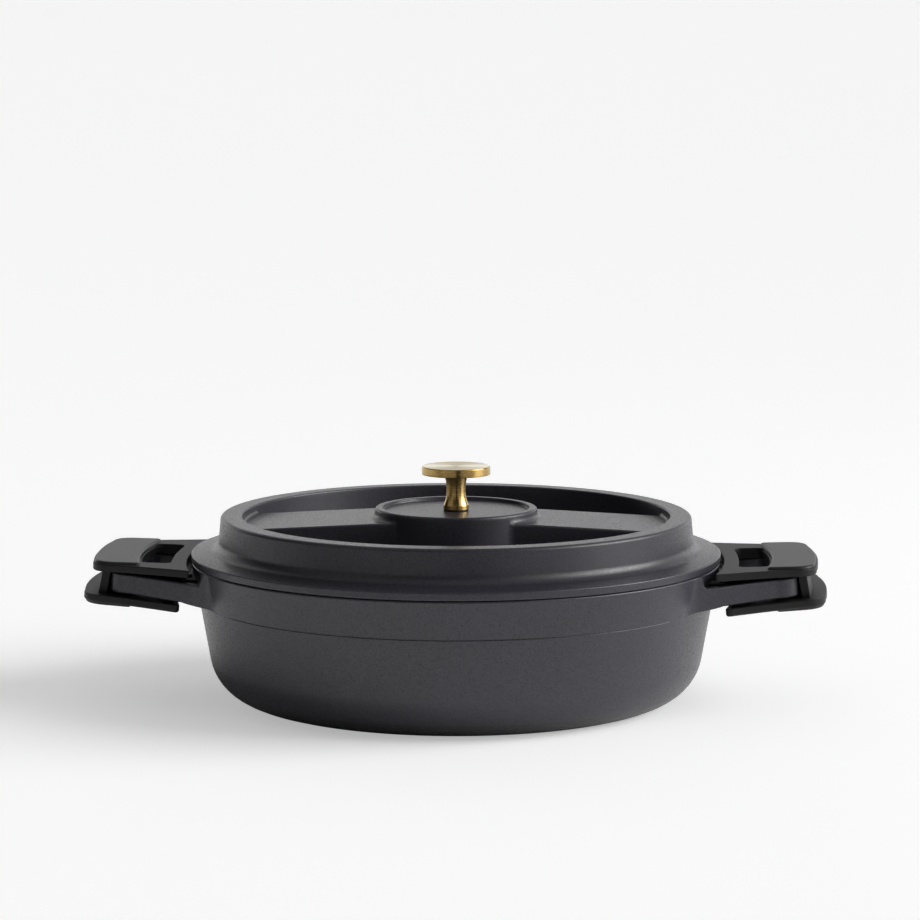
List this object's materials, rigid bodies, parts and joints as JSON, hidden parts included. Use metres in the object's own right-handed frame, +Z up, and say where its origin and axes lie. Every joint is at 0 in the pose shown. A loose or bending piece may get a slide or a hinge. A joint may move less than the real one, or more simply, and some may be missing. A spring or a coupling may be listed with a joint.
{
  "type": "roasting pan",
  "caption": "Round low roasting pan of cast aluminium with a lid, loop handles with slip-on silicone grips, and a brass lid knob.",
  "frame": {"origin": "centre of the base, on the surface the pan stands on", "axes": "+X through the right-hand handle, +Y away from the viewer, +Z up through the lid's knob"},
  "size_m": [0.4114, 0.294, 0.1292],
  "materials": {
    "cast_coating": "cast, with a dark grey metallic non-stick coating",
    "base_steel": "lathe-turned magnetic steel",
    "brass": "satin turned",
    "silicone": "matte moulded black silicone",
    "fastener_steel": "bright stainless"
  },
  "bodies": {
    "pan": {"pan_body": "cast_coating", "base_disc": "base_steel"},
    "cover": {"lid": "cast_coating", "knob_cap": "brass", "knob_stem": "brass", "knob_gasket": "silicone", "knob_flat_washer": "fastener_steel", "knob_spring_washer": "fastener_steel", "knob_screw": "fastener_steel"},
    "left_sleeve": {"grip_left": "silicone"},
    "right_sleeve": {"grip_right": "silicone"}
  },
  "joints": [
    {"name": "lid_lift", "type": "slide", "parent": "pan", "child": "cover", "axis": [0, 0, 1], "range_m": [0, 0.15]},
    {"name": "grip_left_pull", "type": "slide", "parent": "pan", "child": "left_sleeve", "axis": [-0.9968, 0, 0.0802], "range_m": [0, 0.06]},
    {"name": "grip_right_pull", "type": "slide", "parent": "pan", "child": "right_sleeve", "axis": [0.9968, 0, 0.0802], "range_m": [0, 0.06]}
  ]
}
